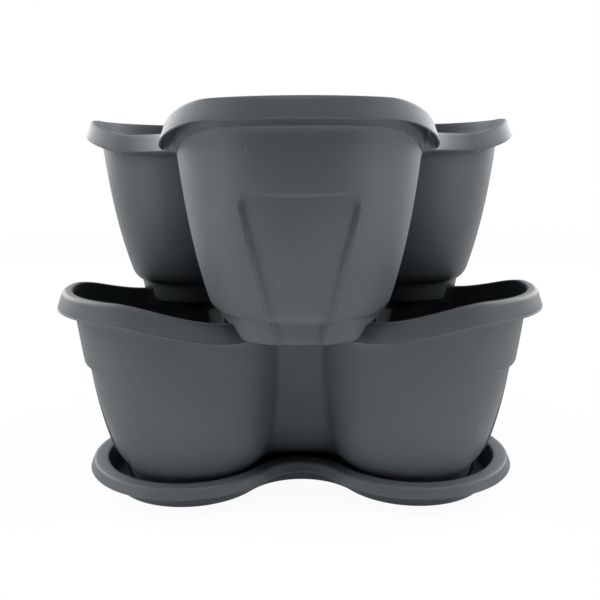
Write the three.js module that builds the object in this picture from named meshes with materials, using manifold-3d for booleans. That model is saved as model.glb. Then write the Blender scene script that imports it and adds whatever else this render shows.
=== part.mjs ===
// Vertical planter tower: two alike three-lobed pots stacked on a three-lobed drip saucer.
// Millimetres, Z up. The origin is the tower's centre on the surface that it stands on.
// Each pot is a thin-walled moulding that narrows towards its foot. Its rim stays high over the
// end of each lobe and dips over each valley between lobes. The upper pot is turned by half a
// lobe, and the channel under its foot sits astride the three low stretches of the lower rim.

import * as THREE from 'three';
import { mergeVertices } from 'three/addons/utils/BufferGeometryUtils.js';
import Module from 'manifold-3d';

const wasm = await Module();
wasm.setup();

// Walls and fits
const potWall = 2.4;
const saucerWall = 2.5;
const seatGap = 0.3;
const channelClearance = 2.5;
const cutOverrun = 6;

// Plan of a pot's wall at its mouth. A lobe's outline is a nose arc, a corner arc on each side, a
// small hollow crease and the flat web that closes the valley.
const mouthCentre = 98;
const mouthSide = 0.5;
const mouthCorner = 81.3;
const mouthNoseExtra = 20;
const mouthWeb = 95.5;
const creaseRadius = 9;

// Plan of the wall where it meets the foot
const stepCentre = 97;
const stepSide = 3;
const stepCorner = 55.5;
const stepNoseExtra = 94;
const stepWeb = 60;

// How far each size of the plan keeps to its mouth value before it turns in: the share of a cubic
const centreBendShare = 0;
const sideBendShare = 1;
const cornerBendShare = 0.5;
const webBendShare = 0;

// Heights of a pot, from its base to the top of the rim over a lobe
const potHeight = 147.5;
const footHeight = 16.2;
const footInset = 2.6;
const footDraft = 2.2;
const footChamfer = 1.4;
const toeHeight = 8;
const toeInset = 3.2;
const floorFillet = 5;

// Rim: its plan against that of the mouth, its section and its dip over the valleys
const rimForward = 8;
const rimSpread = 7.5;
const rimTuck = 3.8;
const rimNoseExtra = 5;
const rimValley = 83;
const rimEdge = 2.2;
const skirtHeight = 12.6;
const skirtFlare = 3.5;
const collarStep = 1.8;
const collarDepth = 16;
const collarChamfer = 1.2;
const rimDip = 14.3;
const rimHighShare = 0.29;
const rimLowShare = 0.766;

// Channel under the foot, for the rim of the pot below. Its roof rises sooner and faster than that
// rim, so that the pot rests on the low stretches only. Its outer side slopes, as a lead-in does.
const channelHeight = 10;
const channelRiseShare = 1.6;
const channelReachShare = 0.96;
const channelSpread = 11.5;

// Recessed panel on the end of each lobe
const panelDepth = 2;
const panelTop = 96.6;
const panelTopDip = 1.2;
const panelShoulderHalf = 25;
const panelShoulderDrop = 11;
const panelHalf = 33.2;
const panelFootHalf = 12.6;

// Drain holes in the floor, two to a lobe, inboard of the channel
const drainRadius = 3.5;
const drainCircle = 42;
const drainSpacing = 22;

// Saucer: plan of its rim's ridge, and its section
const saucerCentre = 97.5;
const saucerSide = 0.5;
const saucerCorner = 73.5;
const saucerNoseExtra = 20;
const saucerValley = 27.5;
const saucerHeight = 21.5;
const saucerRimWidth = 11.5;
const saucerRimEdge = 2;
const saucerSkirtHeight = 7.2;
const saucerSkirtFlare = 2.2;
const saucerBaseInset = 16.5;
const saucerWallDraft = 4;
const saucerFillet = 4;

// Counts
const lobes = 3;
const halfLobeSteps = 12;
const drainSides = 12;
const curveSteps = 4;

const slate = { color: 0x4f5458, roughness: 0.55, metalness: 0 };

// A share of a cubic that starts flat: 0 stays 0, and 1 stays 1
const bend = (t, share) => (1 - share) * t + share * t ** 3;

// An arc of a lobe's half outline, from one direction of its outward normal to another
function arc(x, y, radius, from, to) {
  return {
    length: Math.abs(radius * (to - from)),
    at: (share) => {
      const angle = from + (to - from) * share;
      return [x + radius * Math.cos(angle), y + radius * Math.sin(angle)];
    },
  };
}

function straight([x0, y0], [x1, y1]) {
  return {
    length: Math.hypot(x1 - x0, y1 - y0),
    at: (share) => [x0 + (x1 - x0) * share, y0 + (y1 - y0) * share],
  };
}

// The middle of a valley lies half a lobe's turn away from the middle of the lobe
const valleyTurn = Math.PI / lobes;
const valleyX = Math.cos(valleyTurn);
const valleyY = Math.sin(valleyTurn);

// The nose arc and the start of the corner arc, alike for every plan
function noseOf(plan, shift) {
  const corner = plan.corner + shift;
  const nose = plan.corner + plan.side + plan.noseExtra + shift;
  const noseX = plan.centre - Math.sqrt((nose - corner) ** 2 - plan.side ** 2);
  const turn = Math.atan2(plan.side, plan.centre - noseX);
  return { corner, turn, piece: arc(noseX, 0, nose, 0, turn) };
}

// Half outline of the wall: nose, corner, crease and flat web
function webOutline(plan, shift) {
  const { corner, turn, piece } = noseOf(plan, shift);
  const crease = Math.max(creaseRadius - shift, potWall);
  const along = plan.centre * valleyX + plan.side * valleyY;
  const across = plan.centre * valleyY - plan.side * valleyX;
  const web = plan.web + shift;
  const out = web + crease;
  const aside = Math.max(across - Math.sqrt((corner + crease) ** 2 - (out - along) ** 2), 0);
  const creaseX = out * valleyX + aside * valleyY;
  const creaseY = out * valleyY - aside * valleyX;
  const cornerTurn = Math.atan2(creaseY - plan.side, creaseX - plan.centre);
  const hollow = arc(creaseX, creaseY, -crease, cornerTurn, valleyTurn);
  return [
    piece,
    arc(plan.centre, plan.side, corner, turn, cornerTurn),
    hollow,
    straight(hollow.at(1), [web * valleyX, web * valleyY]),
  ];
}

// Half outline of a rim: nose, corner and one hollow valley arc
function valleyOutline(plan, shift) {
  const { corner, turn, piece } = noseOf(plan, shift);
  const valley = plan.valley - shift;
  const along = plan.centre * valleyX + plan.side * valleyY;
  const across = plan.centre * valleyY - plan.side * valleyX;
  const distance = along + Math.sqrt((corner + valley) ** 2 - across ** 2);
  const x = distance * valleyX;
  const y = distance * valleyY;
  const cornerTurn = Math.atan2(y - plan.side, x - plan.centre);
  return [
    piece,
    arc(plan.centre, plan.side, corner, turn, cornerTurn),
    arc(x, y, -valley, cornerTurn, valleyTurn),
  ];
}

// Point of a half outline at a share of its length
function pointAt(pieces, share) {
  const total = pieces.reduce((sum, piece) => sum + piece.length, 0);
  let rest = share * total;
  for (const piece of pieces) {
    if (rest <= piece.length || piece === pieces.at(-1)) {
      return piece.at(piece.length > 0 ? Math.min(rest / piece.length, 1) : 0);
    }
    rest -= piece.length;
  }
}

// One ring of points round the trefoil, turned by `turn`. height gives z at each share of a half
// lobe, and outline gives the half outline there.
function ring(outline, height, turn = 0) {
  const points = [];
  for (let lobe = 0; lobe < lobes; lobe += 1) {
    const angle = turn + (lobe * 2 * Math.PI) / lobes;
    for (let step = -halfLobeSteps; step < halfLobeSteps; step += 1) {
      const share = Math.abs(step) / halfLobeSteps;
      const z = height(share);
      const [x, half] = pointAt(outline(z), share);
      const y = Math.sign(step) * half;
      points.push([
        x * Math.cos(angle) - y * Math.sin(angle),
        x * Math.sin(angle) + y * Math.cos(angle),
        z,
      ]);
    }
  }
  return points;
}

// A closed body from rings that follow its section. The section either closes on itself, or
// starts and ends on the axis, at the heights given in poles.
function loft(rings, poles) {
  const columns = rings[0].length;
  const positions = rings.flat(2);
  const index = [];
  const quads = poles ? rings.length - 1 : rings.length;
  for (let row = 0; row < quads; row += 1) {
    const next = (row + 1) % rings.length;
    for (let column = 0; column < columns; column += 1) {
      const beside = (column + 1) % columns;
      const a = row * columns + column;
      const b = row * columns + beside;
      const c = next * columns + beside;
      const d = next * columns + column;
      index.push(a, b, c, a, c, d);
    }
  }
  if (poles) {
    const first = rings.length * columns;
    const last = (rings.length - 1) * columns;
    positions.push(0, 0, poles[0], 0, 0, poles[1]);
    for (let column = 0; column < columns; column += 1) {
      const beside = (column + 1) % columns;
      index.push(first, beside, column);
      index.push(first + 1, last + column, last + beside);
    }
  }
  return solid(positions, index);
}

function solid(positions, index) {
  const mesh = new wasm.Mesh({
    numProp: 3,
    vertProperties: new Float32Array(positions),
    triVerts: new Uint32Array(index),
  });
  return new wasm.Manifold(mesh);
}

// A three.js geometry as a solid
function solidOf(geometry) {
  const bare = geometry.clone();
  bare.deleteAttribute('normal');
  bare.deleteAttribute('uv');
  const merged = mergeVertices(bare);
  return solid(merged.attributes.position.array, merged.index.array);
}

function geometryOf(body) {
  const { vertProperties, triVerts } = body.getMesh();
  const geometry = new THREE.BufferGeometry();
  geometry.setAttribute('position', new THREE.BufferAttribute(vertProperties, 3));
  geometry.setIndex(new THREE.BufferAttribute(triVerts, 1));
  geometry.computeVertexNormals();
  return geometry;
}

// Plan of a pot's wall at height z above its base
function wallPlan(z) {
  const down = (potHeight - z) / (potHeight - footHeight);
  const t = Math.min(Math.max(down, 0), 1);
  const mix = (mouth, step, share) => mouth + (step - mouth) * bend(t, share);
  return {
    centre: mix(mouthCentre, stepCentre, centreBendShare),
    side: mix(mouthSide, stepSide, sideBendShare),
    corner: mix(mouthCorner, stepCorner, cornerBendShare),
    noseExtra: mix(mouthNoseExtra, stepNoseExtra, cornerBendShare),
    web: mix(mouthWeb, stepWeb, webBendShare),
  };
}

// How far the wall turns in towards its foot at height z
function toeShift(z) {
  const share = Math.min(Math.max(1 - (z - footHeight) / toeHeight, 0), 1);
  return -toeInset * share ** 2;
}

const rimPlan = {
  centre: mouthCentre + rimForward,
  side: mouthSide + rimSpread,
  corner: mouthCorner - rimTuck,
  noseExtra: rimNoseExtra,
  valley: rimValley,
};

// Height of the rim's top at a share of a half lobe, high at 0 and low at 1
function rimTop(share) {
  const t = Math.min(Math.max((share - rimHighShare) / (rimLowShare - rimHighShare), 0), 1);
  return potHeight - rimDip * t * t * (3 - 2 * t);
}

// Rings of a pot: level ones on its wall, and ones that run at a depth below the rim's top
const wallRing = (z, shift) => ring((at) => webOutline(wallPlan(at), toeShift(at) + shift), () => z);
const footRing = (z, shift) => {
  const inset = toeInset + footInset + footDraft * (1 - z / footHeight);
  return ring(() => webOutline(wallPlan(footHeight), shift - inset), () => z);
};
const collarRing = (depth, shift) =>
  ring((at) => webOutline(wallPlan(at), shift), (share) => rimTop(share) - depth);
const rimRing = (depth, shift) =>
  ring(() => valleyOutline(rimPlan, shift), (share) => rimTop(share) - depth);

// The round over the rim's edge is drawn as two chords
const roundCut = rimEdge * (1 - Math.SQRT1_2);

// Heights of the level rings on the wall, from just above the foot to under the collar
const wallTopShares = [0.02, 0.05, 0.1, 0.22, 0.42, 0.62, 0.8];
const wallSpan = potHeight - rimDip - collarDepth - footHeight;
const wallHeights = wallTopShares.map((share) => footHeight + share * wallSpan);

// The whole wall of a pot as one closed shell, from under its floor, over the rim, to the floor
function potShell() {
  const collarInside = collarStep - potWall;
  const ledge = collarDepth - collarChamfer;
  const insideStep = footHeight + potWall;
  const insideWall = wallHeights.filter((z) => z > insideStep + floorFillet);
  return loft([
    footRing(0, 0),
    footRing(footHeight, 0),
    wallRing(footHeight + footChamfer, 0),
    ...wallHeights.filter((z) => z > footHeight + 2 * footChamfer).map((z) => wallRing(z, 0)),
    collarRing(collarDepth, 0),
    collarRing(ledge, collarStep),
    collarRing(potWall, collarStep),
    rimRing(potWall, -potWall),
    rimRing(skirtHeight, skirtFlare - potWall),
    rimRing(skirtHeight, skirtFlare),
    rimRing(rimEdge, 0),
    rimRing(roundCut, -roundCut),
    rimRing(0, -rimEdge),
    collarRing(0, collarInside + rimEdge),
    collarRing(roundCut, collarInside + roundCut),
    collarRing(rimEdge, collarInside),
    collarRing(ledge, collarInside),
    collarRing(collarDepth, -potWall),
    ...insideWall.reverse().map((z) => wallRing(z, -potWall)),
    wallRing(insideStep + footChamfer, -potWall),
    footRing(footHeight, -potWall),
    footRing(potWall + floorFillet, -potWall),
    footRing(potWall, -potWall - floorFillet),
  ], [0, potWall]);
}

// The space inside the outer face of the wall, set in by inset, from z = low to the collar
function potCore(inset, low) {
  const top = wallHeights.at(-1);
  return loft([
    ring(() => webOutline(wallPlan(footHeight), -inset - toeInset - footInset - footDraft), () => low),
    footRing(footHeight, -inset),
    ...[footHeight + footChamfer, ...wallHeights.slice(1)].map((z) => wallRing(z, -inset)),
  ], [low, top]);
}

// A block with the panel's outline, grown all round, that runs out through the end of a lobe
function panelBlock(grown) {
  const top = panelTop + grown;
  const shoulder = panelShoulderHalf + grown;
  const half = panelHalf + grown;
  const foot = panelFootHalf + grown;
  const shape = new THREE.Shape();
  shape.moveTo(-foot, -cutOverrun);
  shape.lineTo(foot, -cutOverrun);
  shape.lineTo(foot, 0);
  shape.lineTo(half, top - panelShoulderDrop);
  shape.quadraticCurveTo(half + panelTopDip, top, shoulder, top);
  shape.quadraticCurveTo(0, top - 2 * panelTopDip, -shoulder, top);
  shape.quadraticCurveTo(-half - panelTopDip, top, -half, top - panelShoulderDrop);
  shape.lineTo(-foot, 0);
  const depth = mouthCorner + cutOverrun;
  const geometry = new THREE.ExtrudeGeometry(shape, { depth, bevelEnabled: false, curveSegments: curveSteps });
  const upright = new THREE.Matrix4().makeBasis(
    new THREE.Vector3(0, 1, 0),
    new THREE.Vector3(0, 0, 1),
    new THREE.Vector3(1, 0, 0),
  );
  geometry.applyMatrix4(upright);
  geometry.translate(mouthCentre, 0, 0);
  return solidOf(geometry);
}

// The same body on every lobe
function onEachLobe(body) {
  const step = 360 / lobes;
  let all = body;
  for (let lobe = 1; lobe < lobes; lobe += 1) {
    all = all.add(body.rotate([0, 0, lobe * step]));
  }
  return all;
}

// A band that follows the rim of the pot below, in this pot's own heights. Its top runs along
// that rim's top, raised by lift, and both its sides stand off by clear. The outer one slopes out
// from the roof down.
function rimBand(clear, lift, low) {
  const drop = rimTop(1) - channelHeight;
  const rise = (share) => (rimTop(share * channelReachShare) - rimTop(1)) * channelRiseShare;
  const roof = (share) => channelHeight + lift + rise(share);
  const inner = (z) => webOutline(wallPlan(z + drop), collarStep - potWall - clear);
  const slope = (z) => channelSpread * Math.max(1 - z / channelHeight, 0);
  const outer = (z) => valleyOutline(rimPlan, clear + slope(z));
  return loft([
    ring(outer, () => low, valleyTurn),
    ring(outer, roof, valleyTurn),
    ring(inner, roof, valleyTurn),
    ring(inner, () => low, valleyTurn),
  ]);
}

function drains() {
  const depth = potWall + 2 * cutOverrun;
  const hole = new THREE.CylinderGeometry(drainRadius, drainRadius, depth, drainSides);
  hole.rotateX(Math.PI / 2);
  const left = hole.clone().translate(drainCircle, -drainSpacing / 2, 0);
  const right = hole.clone().translate(drainCircle, drainSpacing / 2, 0);
  return onEachLobe(solidOf(left).add(solidOf(right)));
}

// One pot on its base at z = 0, its first lobe along +X
function pot() {
  const middle = potWall / 2;
  const backed = potCore(middle, middle).subtract(potCore(potWall + panelDepth, -2 * cutOverrun));
  const pads = onEachLobe(panelBlock(potWall)).intersect(backed);
  const recesses = onEachLobe(panelBlock(0)).subtract(potCore(panelDepth, -2 * cutOverrun));
  const housing = rimBand(channelClearance + potWall, potWall, middle).intersect(potCore(middle, middle));
  const channel = rimBand(channelClearance, 0, -cutOverrun);
  return potShell()
    .add(pads)
    .add(housing)
    .subtract(recesses)
    .subtract(channel)
    .subtract(drains());
}

// Saucer on the ground, its first lobe along +X: a floor, a flared wall and a rim with a skirt
function saucer() {
  const plan = {
    centre: saucerCentre,
    side: saucerSide,
    corner: saucerCorner,
    noseExtra: saucerNoseExtra,
    valley: saucerValley,
  };
  const level = (z, shift) => ring(() => valleyOutline(plan, shift), () => z);
  const cut = saucerRimEdge * (1 - Math.SQRT1_2);
  const underRim = saucerHeight - saucerWall;
  const inside = -saucerRimWidth;
  return loft([
    level(0, -saucerBaseInset),
    level(underRim, inside + saucerWall),
    level(underRim, -saucerWall),
    level(saucerHeight - saucerSkirtHeight, saucerSkirtFlare - saucerWall),
    level(saucerHeight - saucerSkirtHeight, saucerSkirtFlare),
    level(saucerHeight - saucerRimEdge, 0),
    level(saucerHeight - cut, -cut),
    level(saucerHeight, -saucerRimEdge),
    level(saucerHeight, inside + cut),
    level(saucerHeight - saucerRimEdge, inside),
    level(saucerWall + saucerFillet, inside - saucerWallDraft),
    level(saucerWall, inside - saucerWallDraft - saucerFillet),
  ], [0, saucerWall]);
}

function piece(name, geometry, height, turn) {
  const mesh = new THREE.Mesh(geometry, new THREE.MeshStandardMaterial(slate));
  mesh.name = name;
  mesh.position.z = height;
  mesh.rotation.z = turn;
  return mesh;
}

// The valley between the two front lobes of the lower pot faces -Y, as does the saucer's
const frontTurn = Math.PI / 2;
const lowerBase = saucerWall + seatGap;
const upperBase = lowerBase + potHeight - rimDip + seatGap - channelHeight;
const potGeometry = geometryOf(pot());

const tower = new THREE.Group();
tower.add(
  piece('saucer', geometryOf(saucer()), 0, frontTurn),
  piece('lower_pot', potGeometry, lowerBase, frontTurn),
  piece('upper_pot', potGeometry.clone(), upperBase, frontTurn + valleyTurn),
);

export default tower;
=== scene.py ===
import math

import bpy
import numpy as np
from mathutils import Matrix, Vector


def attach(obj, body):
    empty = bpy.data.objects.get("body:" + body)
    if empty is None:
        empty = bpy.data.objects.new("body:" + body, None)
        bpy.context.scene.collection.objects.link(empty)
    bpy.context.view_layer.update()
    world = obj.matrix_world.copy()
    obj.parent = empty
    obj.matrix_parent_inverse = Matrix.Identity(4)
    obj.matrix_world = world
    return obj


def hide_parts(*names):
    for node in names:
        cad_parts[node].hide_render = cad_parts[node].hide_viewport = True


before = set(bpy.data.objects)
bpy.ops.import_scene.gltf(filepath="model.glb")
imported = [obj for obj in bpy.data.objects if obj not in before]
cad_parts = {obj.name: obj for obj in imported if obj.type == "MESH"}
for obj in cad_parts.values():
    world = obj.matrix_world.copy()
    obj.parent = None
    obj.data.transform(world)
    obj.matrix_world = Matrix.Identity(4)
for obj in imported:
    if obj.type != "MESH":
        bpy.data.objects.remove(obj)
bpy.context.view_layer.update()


# Camera
# It stands 579 mm in front of the tower's axis and 239 mm above the ground, looks down by 10.8
# degrees and leans by a third of a degree, as a fit to the photograph's outlines gave.

camera_data = bpy.data.cameras.new("camera")
camera_data.sensor_width = 36.0
camera_data.lens = 36.0 * 722.05 / 600
camera_data.clip_start = 0.01
camera_data.clip_end = 50.0
camera = bpy.data.objects.new("camera", camera_data)
bpy.context.collection.objects.link(camera)
camera.matrix_world = (
    Matrix.Translation((0.0, -0.5786, 0.2386))
    @ Matrix.Rotation(math.radians(90 - 10.771), 4, "X")
    @ Matrix.Rotation(-0.0050, 4, "Z")
)
bpy.context.scene.camera = camera
bpy.context.scene.view_settings.view_transform = "Standard"


# Drip saucer
# A shallow tray, moulded in the same slate grey polypropylene as the pots, with a flat rim that
# turns down in a short skirt. It lies loose on the ground, and the lower pot stands on its floor.

# Every level of each piece is a trefoil. Half a lobe runs from its nose to the middle of the valley,
# along arcs that meet smoothly. Lengths are millimetres until a mesh is made.
VALLEY = math.pi / 3


def lengths(pieces):
    """Length of each piece: |r (to - from)| for an arc, the distance between its ends for a run."""
    return [
        np.abs(p[2] * (p[4] - p[3])) if kind == "arc" else np.hypot(p[2] - p[0], p[3] - p[1])
        for kind, *p in pieces
    ]


def trace(pieces, walked):
    """x, y and the outward normal's angle at a distance walked along a half outline.

    ("arc", x, y, r, from, to) is (x + r cos a, y + r sin a), hollow where r < 0.
    ("run", x0, y0, x1, y1, a) is straight, with its normal at the angle a.
    """
    x, y, turn = walked * 0, walked * 0, walked * 0
    for (kind, *p), length in zip(pieces, lengths(pieces)):
        part = np.clip(walked / np.maximum(length, 1e-9), 0, 1)
        if kind == "arc":
            angle = p[3] + (p[4] - p[3]) * part
            here = p[0] + p[2] * np.cos(angle), p[1] + p[2] * np.sin(angle), angle
        else:
            here = p[0] + (p[2] - p[0]) * part, p[1] + (p[3] - p[1]) * part, p[4] + part * 0
        x, y, turn = (np.where(walked >= 0, new, old) for new, old in zip(here, (x, y, turn)))
        walked = walked - length
    return x, y, turn


def rim_outline(centre, side, corner, nose, valley):
    """Nose arc, corner arc round (centre, side) and one hollow valley arc of radius valley."""
    nose_radius = corner + side + nose
    nose_x = centre - math.sqrt((nose_radius - corner) ** 2 - side ** 2)
    turn = math.atan2(side, centre - nose_x)
    along = centre * math.cos(VALLEY) + side * math.sin(VALLEY)
    across = centre * math.sin(VALLEY) - side * math.cos(VALLEY)
    reach = along + math.sqrt((corner + valley) ** 2 - across ** 2)
    x, y = reach * math.cos(VALLEY), reach * math.sin(VALLEY)
    meet = math.atan2(y - side, x - centre)
    return [
        ("arc", nose_x, 0, nose_radius, 0, turn),
        ("arc", centre, side, corner, turn, meet),
        ("arc", x, y, -valley, meet, VALLEY),
    ]


def moved(outline, shift):
    """An outline's points, shifted along their outward normals."""
    x, y, turn = outline
    return x + shift * np.cos(turn), y + shift * np.sin(turn)


saucer_plan = rim_outline(97.5, 0.5, 73.5, 20.0, 27.5)
tray = trace(saucer_plan, np.linspace(0, sum(lengths(saucer_plan)), 101))


def tray_row(shift, z):
    """The saucer's outline, set off by shift, at the height z."""
    return *moved(tray, shift), z


def round_over(row, shift, z, radius, start, end, steps):
    """Rows round an edge: shift + r cos a and z + r sin a, for a from start to end in degrees."""
    angles = np.radians(np.linspace(start, end, steps))
    return [row(shift + radius * math.cos(a), z + radius * math.sin(a)) for a in angles]


def inward(row, shares):
    """Rows drawn in towards the axis, by shares of their size."""
    return [(row[0] * share, row[1] * share, row[2]) for share in shares]


# From under the middle out to the foot, up the skirt, over the rim and down to the floor
saucer_rows = [
    *inward(tray_row(-18.5, 0.9), (0.3, 0.6, 0.9, 1.0)),
    tray_row(-17.8, 0.0),
    *round_over(tray_row, -18.0, 1.5, 1.5, -80, 0, 4),
    tray_row(-13.8, 10.0),
    tray_row(-10.6, 18.6),
    tray_row(-9.6, 19.4),
    tray_row(-3.6, 19.4),
    tray_row(-2.2, 18.4),
    tray_row(0.2, 14.6),
    *round_over(tray_row, 1.1, 15.2, 0.9, -100, -10, 5),
    tray_row(1.1, 17.6),
    *round_over(tray_row, -2.2, 19.3, 2.3, 5, 90, 7),
    tray_row(-5.5, 21.5),
    tray_row(-8.5, 21.4),
    *round_over(tray_row, -9.8, 19.6, 1.7, 95, 170, 5),
    tray_row(-12.4, 16.0),
    tray_row(-15.0, 8.0),
    *round_over(tray_row, -19.8, 7.1, 4.6, -10, -85, 5),
    *inward(tray_row(-21.0, 2.5), (1.0, 0.85, 0.55, 0.25)),
]


def linear(code):
    """Linear colour of an sRGB hex code: ((c + 0.055) / 1.055)^2.4 above 0.04045, else c / 12.92."""
    parts = [int(code[k:k + 2], 16) / 255 for k in (0, 2, 4)]
    return [((c + 0.055) / 1.055) ** 2.4 if c > 0.04045 else c / 12.92 for c in parts] + [1.0]


def add(tree, kind, inputs=(), **settings):
    """A shader node with its settings. An input, by name or number, takes a value or a link."""
    node = tree.nodes.new(kind)
    for name, value in settings.items():
        setattr(node, name, value)
    for socket, value in dict(inputs).items():
        if isinstance(value, bpy.types.NodeSocket):
            tree.links.new(value, node.inputs[socket])
        else:
            node.inputs[socket].default_value = value
    return node


def combined(tree, operation, first, second):
    """A math node's output for two sockets or numbers."""
    return add(tree, "ShaderNodeMath", {0: first, 1: second}, operation=operation).outputs[0]


def ramp(tree, source, low, high, at_low=(0, 0, 0, 1), at_high=(1, 1, 1, 1)):
    """A colour ramp from at_low at the position low to at_high at high."""
    node = add(tree, "ShaderNodeValToRGB", {"Fac": source})
    node.color_ramp.elements[0].position = low
    node.color_ramp.elements[0].color = at_low
    node.color_ramp.elements[1].position = high
    node.color_ramp.elements[1].color = at_high
    return node.outputs["Color"]


def moulded_polypropylene(name, seed):
    """Polypropylene from a spark-eroded mould: matt, with a soft uneven sheen and a fine grain.

    seed slides the patterns, so that no two pieces are marked alike.
    """
    material = bpy.data.materials.new(name)
    material.use_nodes = True
    tree = material.node_tree
    shader = tree.nodes["Principled BSDF"]

    def noise(place, scale, detail, roughness=0.5):
        """A noise pattern whose cells are 1 / scale metres wide."""
        inputs = {"Vector": place, "Scale": scale, "Detail": detail, "Roughness": roughness}
        return add(tree, "ShaderNodeTexNoise", inputs).outputs["Fac"]

    place = add(tree, "ShaderNodeTexCoord").outputs["Object"]
    offset = {"Vector": place, "Location": (seed, 2 * seed, 0)}
    slid = add(tree, "ShaderNodeMapping", offset).outputs["Vector"]

    # Pigment: the slate colour drifts, over about 110 mm
    body = ramp(tree, noise(slid, 9.0, 3.0), 0.3, 0.7, linear("4d5256"), linear("545a5e"))

    # Rub marks: a few pale smudges where pots knock together, the peaks of cells 26 mm wide
    rubbed = ramp(tree, noise(slid, 38.0, 5.0, 0.6), 0.70, 0.80)

    # Hair scratches: the peaks of cells 3 mm wide and 50 mm long, almost upright
    stretch = {"Vector": slid, "Scale": (90.0, 90.0, 5.0), "Rotation": (0.12, 0.2, 0)}
    drawn_out = add(tree, "ShaderNodeMapping", stretch).outputs["Vector"]
    scratched = ramp(tree, noise(drawn_out, 4.0, 2.0), 0.74, 0.78)

    # Both marks show faintly, as a paler grey
    marks = combined(tree, "MAXIMUM", rubbed, scratched)
    faint = combined(tree, "MULTIPLY", marks, 0.16)
    worn = {"Factor": faint, 6: body, 7: linear("9aa0a3")}
    colour = add(tree, "ShaderNodeMix", worn, data_type="RGBA").outputs[2]
    tree.links.new(colour, shader.inputs["Base Color"])

    # Sheen: satin patches, about 40 mm wide, between duller ones
    patches = {"Value": noise(slid, 24.0, 4.0), "To Min": 0.44, "To Max": 0.58}
    sheen = add(tree, "ShaderNodeMapRange", patches).outputs["Result"]
    tree.links.new(sheen, shader.inputs["Roughness"])
    shader.inputs["IOR"].default_value = 1.49
    shader.inputs["Specular IOR Level"].default_value = 0.3

    # Grain: grit of about 1 mm over the slow waves, 60 mm long, of a thin moulded wall
    grit = noise(place, 1100.0, 2.0)
    waves = noise(slid, 16.0, 1.0)
    low = add(tree, "ShaderNodeBump", {"Height": waves, "Strength": 0.10, "Distance": 0.004})
    on_low = {"Height": grit, "Normal": low.outputs["Normal"], "Strength": 0.10, "Distance": 0.0004}
    fine = add(tree, "ShaderNodeBump", on_low)
    tree.links.new(fine.outputs["Normal"], shader.inputs["Normal"])
    return material


def trefoil_mesh(name, rows, base, turn, poles, body, material):
    """A closed mesh from rows of (x, y, z) on half a lobe, mirrored and set round the three lobes.

    The rows follow the section from under the middle, out, up, over the rim and back inside, and
    poles are the heights of its two ends on the axis.
    """
    width = rows[0][0].shape
    x, y, z = (np.array([np.broadcast_to(row[k], width) for row in rows]) for k in range(3))
    x = np.concatenate([x[:, :0:-1], x[:, :-1]], axis=1)
    y = np.concatenate([-y[:, :0:-1], y[:, :-1]], axis=1)
    z = np.concatenate([z[:, :0:-1], z[:, :-1]], axis=1) + base
    turns = [turn + k * 2 * math.pi / 3 for k in range(3)]
    ring_x = np.concatenate([x * math.cos(a) - y * math.sin(a) for a in turns], axis=1)
    ring_y = np.concatenate([x * math.sin(a) + y * math.cos(a) for a in turns], axis=1)
    points = np.stack([ring_x, ring_y, np.tile(z, 3)], axis=2)
    count, columns = points.shape[:2]
    ends = [[0, 0, poles[0] + base], [0, 0, poles[1] + base]]
    vertices = np.concatenate([points.reshape(-1, 3), ends]) / 1000
    row, column = np.meshgrid(np.arange(count - 1), np.arange(columns), indexing="ij")
    beside = (column + 1) % columns
    quads = np.stack([
        row * columns + column,
        row * columns + beside,
        (row + 1) * columns + beside,
        (row + 1) * columns + column,
    ], axis=2).reshape(-1, 4)
    j = np.arange(columns)
    k = (j + 1) % columns
    last = (count - 1) * columns
    under = np.stack([np.full(columns, count * columns), k, j], axis=1)
    inside = np.stack([np.full(columns, count * columns + 1), last + j, last + k], axis=1)
    mesh = bpy.data.meshes.new(name)
    mesh.from_pydata(vertices.tolist(), [], quads.tolist() + under.tolist() + inside.tolist())
    mesh.validate()
    mesh.shade_smooth()
    mesh.set_sharp_from_angle(angle=math.radians(38))
    mesh.materials.append(material)
    piece = bpy.data.objects.new(name, mesh)
    bpy.context.collection.objects.link(piece)
    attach(piece, body)
    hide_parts(body)
    return piece


saucer = trefoil_mesh(
    "drip_saucer", saucer_rows, 0.0, math.pi / 2, (0.9, 2.5), "saucer",
    moulded_polypropylene("slate_polypropylene_saucer", 3.1),
)


# Lower pot: wall and panels
# The first tier, one thin injection moulding in polypropylene. Its three lobes narrow towards the
# foot, with a sunk panel on each, and turn in over the last eight millimetres above it. Between two
# lobes the wall closes in a flat web with a hollow crease on each side of it.

POT_HEIGHT = 147.5
STEP = 16.2
WALL = 2.4
PANEL_DEPTH = 3.0
PANEL_BORDER = 2.7


def smooth(t):
    """t^2 (3 - 2 t), with t held between 0 and 1."""
    t = np.clip(t, 0, 1)
    return t * t * (3 - 2 * t)


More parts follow.
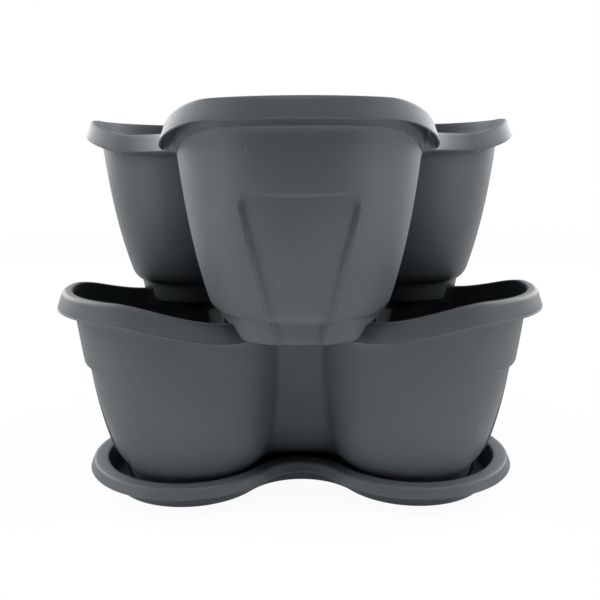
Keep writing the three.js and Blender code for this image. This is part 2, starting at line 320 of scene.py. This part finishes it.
def wall_outline(z):
    """Pieces of the half outline at height z: nose, corner, crease and web.

    Each size goes from mouth to step as (1 - b) t + b t^3, where t is 0 at the rim's top.
    """
    t = np.clip((POT_HEIGHT - z) / (POT_HEIGHT - STEP), 0, 1)

    def between(mouth, step, bend):
        return mouth + (step - mouth) * ((1 - bend) * t + bend * t ** 3)

    centre, side = between(98.0, 97.0, 0.0), between(0.5, 3.0, 1.0)
    corner, nose = between(81.3, 55.5, 0.5), between(20.0, 94.0, 0.5)
    web, crease = between(95.5, 60.0, 0.0), 7.0
    nose_radius = corner + side + nose
    nose_x = centre - np.sqrt((nose_radius - corner) ** 2 - side ** 2)
    turn = np.arctan2(side, centre - nose_x)
    along = centre * math.cos(VALLEY) + side * math.sin(VALLEY)
    across = centre * math.sin(VALLEY) - side * math.cos(VALLEY)
    aside = across - np.sqrt((corner + crease) ** 2 - (web + crease - along) ** 2)
    hollow_x = (web + crease) * math.cos(VALLEY) + aside * math.sin(VALLEY)
    hollow_y = (web + crease) * math.sin(VALLEY) - aside * math.cos(VALLEY)
    meet = np.arctan2(hollow_y - side, hollow_x - centre)
    web_x, web_y = hollow_x - crease * math.cos(VALLEY), hollow_y - crease * math.sin(VALLEY)
    return [
        ("arc", nose_x, 0, nose_radius, 0, turn),
        ("arc", centre, side, corner, turn, meet),
        ("arc", hollow_x, hollow_y, -crease, meet, VALLEY),
        ("run", web_x, web_y, web * math.cos(VALLEY), web * math.sin(VALLEY), VALLEY),
    ]


# Columns of the mesh: they follow the panel's slanted border and the crease, so both stay crisp
STOPS = [0, 16, 25, 92, 100, 112]
column = np.arange(STOPS[-1] + 1.0)


def panel_half(z):
    """Half the panel's width: 17 mm at the foot, and 20.3 mm more from 88.5 mm up."""
    return 17.0 + 20.3 * np.clip(z / 88.5, 0, 1)


def wall_walk(z):
    """Distance of every column from the nose, at heights z, and the half outline's length."""
    parts = lengths(wall_outline(z))
    whole, half = sum(parts), panel_half(z)
    places = [0 * z, half - 2.9, half + 0.2, whole - parts[3] - parts[2], whole - parts[3], whole]
    walked = 0 * z + column
    for k in range(len(STOPS) - 1):
        share = (column - STOPS[k]) / (STOPS[k + 1] - STOPS[k])
        here = (column >= STOPS[k]) & (column <= STOPS[k + 1])
        walked = np.where(here, places[k] + share * (places[k + 1] - places[k]), walked)
    return walked, whole


def recess(z, walked):
    """Share of the panel's depth: 1 inside it and 0 outside, with an S-shaped border between."""
    corner = 10.0
    top = 96.6 - 1.2 * (1 - np.clip(walked / 28.0, 0, 1) ** 2)
    across = walked - (panel_half(z) - corner)
    up = z - (top - corner)
    away = np.hypot(np.maximum(across, 0), np.maximum(up, 0)) + np.minimum(np.maximum(across, up), 0)
    return smooth((corner - away) / PANEL_BORDER)


def wall_row(z, shift):
    """The wall at heights z, with its panel and its toe, set off by shift."""
    z = z + 0 * column
    walked, _ = wall_walk(z)
    toe = 3.2 * np.clip(1 - (z - STEP) / 8.0, 0, 1) ** 2
    sunk = PANEL_DEPTH * recess(z, walked)
    return *moved(trace(wall_outline(z), walked), shift - toe - sunk), z


def foot_row(z, shift):
    """The foot at heights z: set in by 4.8 mm at the step and by 7.6 mm at its rounded base."""
    z = z + 0 * column
    level = STEP + 0 * column
    walked, _ = wall_walk(level)
    narrow = panel_half(z) - panel_half(level)
    walked = walked + narrow * np.interp(column, [0, STOPS[1], STOPS[2], 60], [0, 1, 1, 0])
    sunk = PANEL_DEPTH * recess(z, walked)
    rounded = 2.6 * (1 - np.sqrt(1 - np.clip(1 - z / 3.5, 0, 1) ** 2))
    set_off = shift - 7.6 + 2.8 * z / STEP - sunk - rounded
    return *moved(trace(wall_outline(level), walked), set_off), z


# Lower pot: rim
# The rim keeps its height round the lobe's end and dips over the valley. From the collar under it a
# flat top runs out to a rounded ridge, and a flared skirt hangs from that, hollow but for the
# valleys, where its underside closes.

DIP = 14.3

rim_plan = rim_outline(106.0, 8.0, 77.5, 5.0, 83.0)
top_walk, top_whole = wall_walk(131.0 + 0 * column)
rim_share = top_walk / top_whole
rim = trace(rim_plan, rim_share * sum(lengths(rim_plan)))


def dipped(share):
    """Share of the dip, at shares of the way from the nose to the middle of the valley."""
    return smooth((share - 0.29) / 0.476)


rim_top = POT_HEIGHT - DIP * dipped(rim_share)
valleyness = smooth((rim_share - 0.6) / 0.4)
filled = smooth((rim_share - 0.655) / 0.06)


def rim_row(shift, depth):
    """The rim's outline, set off by shift, at a depth under the rim's top."""
    return *moved(rim, shift), rim_top - depth


def up_row(shift, z):
    """As rim_row, with height above the rim's top in place of depth."""
    return rim_row(shift, -z)


def hollow_row(shift, depth, full_shift, full_depth):
    """A row inside the skirt over a lobe, which moves down to its lip where the rim is filled."""
    return rim_row(shift + (full_shift - shift) * filled, depth + (full_depth - depth) * filled)


# How far the wall just under the rim stands off from the rim's outline, along its normal
below = trace(wall_outline(rim_top - 16.0), wall_walk(rim_top - 16.0)[0])
stand_off = (below[0] - rim[0]) * np.cos(rim[2]) + (below[1] - rim[1]) * np.sin(rim[2])
collar = np.maximum(-6.9 - 4.0 * valleyness, stand_off + 1.0)
ledge = np.minimum(collar - 2.1, np.maximum(stand_off - 2.2, collar - 4.5))

rim_rows = [
    hollow_row(collar - 0.5, 16.0, 0.9, 13.1),
    hollow_row(collar, 15.5, 1.2, 12.9),
    hollow_row(collar + 0.4, 3.2, 1.3, 12.8),
    hollow_row(collar + 1.2, 2.2, 1.4, 12.7),
    hollow_row(-3.4, 2.2, 1.5, 12.6),
    hollow_row(-1.9, 3.4, 1.6, 12.5),
    rim_row(1.7, 12.3),
    *round_over(up_row, 2.65, -12.0, 0.7, -130, 75, 9),
    rim_row(2.6, 10.3),
    rim_row(1.6, 7.3),
    rim_row(0.4, 4.0),
    *round_over(up_row, -3.4, -3.4, 3.4, 20, 90, 8),
    rim_row(-4.6, 0.0),
    *round_over(up_row, collar + 0.4, -1.7, 1.7, 90, 180, 6),
    rim_row(collar - 1.4, 6.0),
    rim_row(collar - 1.6, 13.6),
    rim_row(collar - 1.8, 13.9),
]


# Lower pot: foot, floor and the channel under them
# The channel lets the rim of a pot below pass through the foot, so it follows that rim, turned by
# half a lobe, with a gap on each side. Inside the pot the floor rises over it.

CLEARANCE = 2.5
OUTER_SLOPE = 11.5

share_at = np.linspace(0, 1, 400)
sample = trace(rim_plan, share_at * sum(lengths(rim_plan)))
inner_side = moved(sample, -8.5 - 4.0 * smooth((share_at - 0.6) / 0.4) - CLEARANCE)
outer_side = moved(sample, CLEARANCE)
roof_at = 10.0 + 1.6 * DIP * (1 - dipped(0.96 * share_at))


def across_band(x, y):
    """Inner and outer radius and the roof of the channel, on the rays through the points x, y."""
    ray = VALLEY - np.arctan2(y, x)
    inner = np.interp(ray, np.arctan2(inner_side[1], inner_side[0]), np.hypot(*inner_side))
    outer = np.interp(ray, np.arctan2(outer_side[1], outer_side[0]), np.hypot(*outer_side))
    roof = np.interp(ray, np.arctan2(sample[1], sample[0]), roof_at)
    return inner, outer, np.minimum(roof, STEP - 1.0)


def channel_height(x, y, grown, inner_slope):
    """Height over the channel at the points x, y, between its sides set off by grown.

    The inner side rises straight over inner_slope. The outer one falls in an S over OUTER_SLOPE.
    """
    inner, outer, roof = across_band(x, y)
    radius = np.hypot(x, y)
    rise = np.clip((radius - inner + grown) / inner_slope + 0.5, 0, 1)
    fall = 1 - smooth((radius - outer - grown) / OUTER_SLOPE)
    return roof * rise * fall


def under_height(x, y):
    """Height of the underside at the points x, y."""
    return channel_height(x, y, 0.0, 0.8)


def floor_height(x, y):
    """Height of the floor inside the pot at the points x, y."""
    return WALL + channel_height(x, y, WALL, 3.0)


def radial_rows(edge, targets, height):
    """Rows between the axis and an outline, at target radii that never pass the outline."""
    x, y = edge[:2]
    radius = np.hypot(x, y)
    rows = []
    for k, target in enumerate(targets):
        share = np.minimum(target / radius, 1 - 0.0012 * (len(targets) - k))
        rows.append((x * share, y * share, height(x * share, y * share)))
    return rows


base_edge = foot_row(0.0, -0.8)
inner, outer, _ = across_band(*base_edge[:2])
under_targets = [
    inner * 0.3, inner * 0.6, inner * 0.9, inner - 0.5, inner + 0.5, (inner + outer) / 2,
    outer, outer + 2.5, outer + 5.0, outer + 7.5, outer + 10.0, outer + OUTER_SLOPE,
]
under_rows = radial_rows(base_edge, under_targets, under_height)
foot_low = under_height(*foot_row(0.0, 0.0)[:2])
under_rows.append((*base_edge[:2], foot_low))

FILLET = 4.0
floor_edge = foot_row(FILLET, -WALL)
inner, outer, _ = across_band(*floor_edge[:2])
edge_radius = np.hypot(*floor_edge[:2])
inside_low = floor_height(*floor_edge[:2]) + FILLET


def filleted(x, y):
    """Height of the floor with its fillet: r (1 - sqrt(1 - n^2)) more, n being 1 at the wall."""
    near = np.clip(1 - (edge_radius - np.hypot(x, y)) / FILLET, 0, 1)
    return floor_height(x, y) + FILLET * (1 - np.sqrt(1 - near ** 2))


floor_targets = [
    inner * 0.2, inner * 0.5, inner * 0.8, inner - 4.2, inner - 0.6, (inner + outer) / 2,
    outer + WALL, outer + 8.0, np.minimum(outer + (WALL + OUTER_SLOPE), edge_radius - 4.6),
    *[edge_radius - back for back in (4.2, 3.0, 1.8, 0.8, 0.2)],
]
floor_rows = radial_rows(floor_edge, floor_targets, filleted)[::-1]


# Lower pot: the whole section, with the cove and the ledge under the rim
# The rows go from under the middle out to the foot, up the wall, over the rim and down inside.
# The pot is drilled with two drain holes to a lobe and stands loose on the saucer's floor.

COVE_FROM = 121.5

step_sunk = 1.6 * recess(STEP + 0 * column, wall_walk(STEP + 0 * column)[0])
step = STEP - step_sunk


def level_z(z):
    """Heights of a row that is level on the wall, sinks at the step and meets the rim's dip above."""
    sink = step_sunk * np.clip(1 - (z - STEP) / 10.0, 0, 1)
    return z - sink + (rim_top - POT_HEIGHT) * smooth((z - 98.0) / 33.5)


def part_way(first, second, share):
    """A row a share of the way from the first row to the second."""
    return [a + (b - a) * share for a, b in zip(first, second)]


def cove_row(z, share):
    """A row under the rim, a share of the way from the wall out to the rim's underside."""
    wall = wall_row(level_z(z + 0.25 * (z - COVE_FROM) * filled), 0.0)
    return *part_way(wall[:2], rim_rows[0][:2], share), wall[2]


def ledge_row():
    """The ledge inside the mouth, which fades into an even slope over the valley."""
    collar_foot = rim_row(collar - 1.8, 13.9)
    wall_top = wall_row(level_z(128.0), -WALL)
    fade = smooth((rim_share - 0.55) / 0.2)
    return part_way(rim_row(ledge, 15.2), part_way(collar_foot, wall_top, 0.5), fade)


cove = [(COVE_FROM, 0.0), (125.5, 0.01), (128.0, 0.06), (129.6, 0.2), (130.6, 0.45), (131.2, 0.8)]
outer_heights = [
    17.2, 18.0, 19.0, 20.2, 21.6, 23.2, 25.0, 28.0, *np.arange(32, 84, 3.5),
    *np.arange(84, 90, 1.0), *np.arange(90, 98, 0.5), *np.arange(98.5, 120, 4.5),
]
inner_heights = [
    124.0, 117.0, 110.0, 103.0, *np.arange(98, 84, -1.2), *np.arange(82, 34, -8.0), 30.0, 25.0, 21.5,
]
pot_rows = [
    *under_rows,
    *[foot_row(foot_low + (step - foot_low) * share, 0.0) for share in (0.06, 0.3, 0.6, 0.9, 1.0)],
    wall_row(step + 0.05, -0.9),
    wall_row(step + 0.45, -0.25),
    *[wall_row(level_z(z), 0.0) for z in outer_heights],
    *[cove_row(z, share) for z, share in cove],
    *rim_rows,
    ledge_row(),
    *[wall_row(level_z(z), -WALL) for z in inner_heights],
    foot_row(step + 1.2, -WALL),
    *[foot_row(inside_low + (step - inside_low) * share, -WALL) for share in (0.8, 0.4, 0.0)],
    *floor_rows,
]


def drilled(piece, turn):
    """Cuts the six drain holes, 7 mm across, 42 mm from the axis and 22 mm apart."""
    cutters = []
    for k in range(3):
        for side in (-11.0, 11.0):
            angle = turn + k * 2 * math.pi / 3
            x = (42.0 * math.cos(angle) - side * math.sin(angle)) / 1000
            y = (42.0 * math.sin(angle) + side * math.cos(angle)) / 1000
            place = (x, y, piece.bound_box[0][2])
            bpy.ops.mesh.primitive_cylinder_add(vertices=32, radius=0.0035, depth=0.02, location=place)
            cutters.append(bpy.context.object)
    bpy.ops.object.select_all(action="DESELECT")
    for cutter in cutters:
        cutter.select_set(True)
    bpy.context.view_layer.objects.active = cutters[0]
    bpy.ops.object.join()
    cutter = bpy.context.object
    cut = piece.modifiers.new("drains", "BOOLEAN")
    cut.operation = "DIFFERENCE"
    cut.solver = "MANIFOLD"
    cut.object = cutter
    bpy.context.view_layer.update()
    graph = bpy.context.evaluated_depsgraph_get()
    mesh = bpy.data.meshes.new_from_object(piece.evaluated_get(graph))
    piece.modifiers.clear()
    piece.data = mesh
    bpy.data.objects.remove(cutter)


lower_turn = math.pi / 2
lower = trefoil_mesh(
    "lower_planting_pot", pot_rows, 2.8, lower_turn, (0.0, WALL), "lower_pot",
    moulded_polypropylene("slate_polypropylene_lower", 0.0),
)
drilled(lower, lower_turn)


# Upper pot
# The second tier is the same moulding, turned by half a lobe. It stands loose, the channel under its
# foot astride the lower pot's rim.

upper_turn = math.pi / 2 + VALLEY
upper = trefoil_mesh(
    "upper_planting_pot", pot_rows, 126.3, upper_turn, (0.0, WALL), "upper_pot",
    moulded_polypropylene("slate_polypropylene_upper", 1.7),
)
drilled(upper, upper_turn)


# Floor and light
# A white floor and backdrop, dark behind the camera. A tall panel lights each flank, another glances
# along it from behind, and a low lamp fills the lower lobes. A narrow beam from overhead lights only
# the floor in front.

white_floor = bpy.data.materials.new("white_floor")
white_floor.use_nodes = True
tree = white_floor.node_tree
matt = tree.nodes["Principled BSDF"]
matt.inputs["Base Color"].default_value = (0.8, 0.8, 0.8, 1)
matt.inputs["Roughness"].default_value = 0.9
path = add(tree, "ShaderNodeLightPath").outputs
mirrored = combined(tree, "MAXIMUM", path["Is Glossy Ray"], path["Is Transmission Ray"])
place = add(tree, "ShaderNodeTexCoord").outputs["Object"]
distance = add(tree, "ShaderNodeVectorMath", {0: place}, operation="LENGTH").outputs["Value"]
fade = {"Value": distance, "From Min": 0.5, "From Max": 2.5, "To Min": 0.95, "To Max": 1.0}
white = add(tree, "ShaderNodeMapRange", fade).outputs["Result"]
seen = combined(tree, "MAXIMUM", path["Is Camera Ray"], mirrored)
seen = combined(tree, "MULTIPLY", seen, white)
glow = add(tree, "ShaderNodeEmission", {"Color": (1, 1, 1, 1), "Strength": 1.0})
mix = add(tree, "ShaderNodeMixShader", {"Fac": seen, 1: matt.outputs[0], 2: glow.outputs[0]})
tree.links.new(mix.outputs[0], tree.nodes["Material Output"].inputs["Surface"])

floor_mesh = bpy.data.meshes.new("floor")
corners = [(-6, -6, -0.0002), (6, -6, -0.0002), (6, 6, -0.0002), (-6, 6, -0.0002)]
floor_mesh.from_pydata(corners, [], [(0, 1, 2, 3)])
floor_mesh.materials.append(white_floor)
floor = bpy.data.objects.new("floor", floor_mesh)
bpy.context.collection.objects.link(floor)

studio = bpy.data.worlds.new("studio")
bpy.context.scene.world = studio
studio.use_nodes = True
tree = studio.node_tree
path = add(tree, "ShaderNodeLightPath").outputs
direction = add(tree, "ShaderNodeTexCoord").outputs["Generated"]
along = add(tree, "ShaderNodeSeparateXYZ", {"Vector": direction}).outputs["Y"]
ahead = {"Value": along, "From Min": -0.5, "From Max": 0.2}
backdrop = add(tree, "ShaderNodeMapRange", ahead, interpolation_type="SMOOTHSTEP")
mirrored = combined(tree, "MAXIMUM", path["Is Glossy Ray"], path["Is Transmission Ray"])
mirrored = combined(tree, "MULTIPLY", mirrored, backdrop.outputs["Result"])
seen = combined(tree, "MAXIMUM", path["Is Camera Ray"], mirrored)
strength = combined(tree, "MAXIMUM", seen, 0.03)
tree.nodes["Background"].inputs["Color"].default_value = (1, 1, 1, 1)
tree.links.new(strength, tree.nodes["Background"].inputs["Strength"])


def soft_panel(name, place, target, width, height, power, spread=180.0):
    """A rectangular soft light at place that faces target, in a beam spread degrees wide."""
    data = bpy.data.lights.new(name, "AREA")
    data.shape = "RECTANGLE"
    data.size, data.size_y = width, height
    data.energy = power
    data.spread = math.radians(spread)
    light = bpy.data.objects.new(name, data)
    light.location = place
    light.rotation_euler = (Vector(target) - Vector(place)).to_track_quat("-Z", "Y").to_euler()
    bpy.context.collection.objects.link(light)


for side, name in ((-1, "left"), (1, "right")):
    soft_panel(name + "_panel", (1.1 * side, -0.1, 0.9), (0, 0, 0.12), 1.0, 0.6, 7.8)
    soft_panel(name + "_glancing_panel", (0.9 * side, 0.8, 0.6), (0, 0, 0.12), 0.8, 0.8, 12.0)
    soft_panel(name + "_low_lamp", (0.6 * side, -0.3, 0.12), (0, 0, 0.08), 0.3, 0.15, 0.9)
soft_panel("overhead_lamp", (0, -0.45, 0.8), (0, -0.4, 0), 0.2, 0.2, 0.87, 50.0)
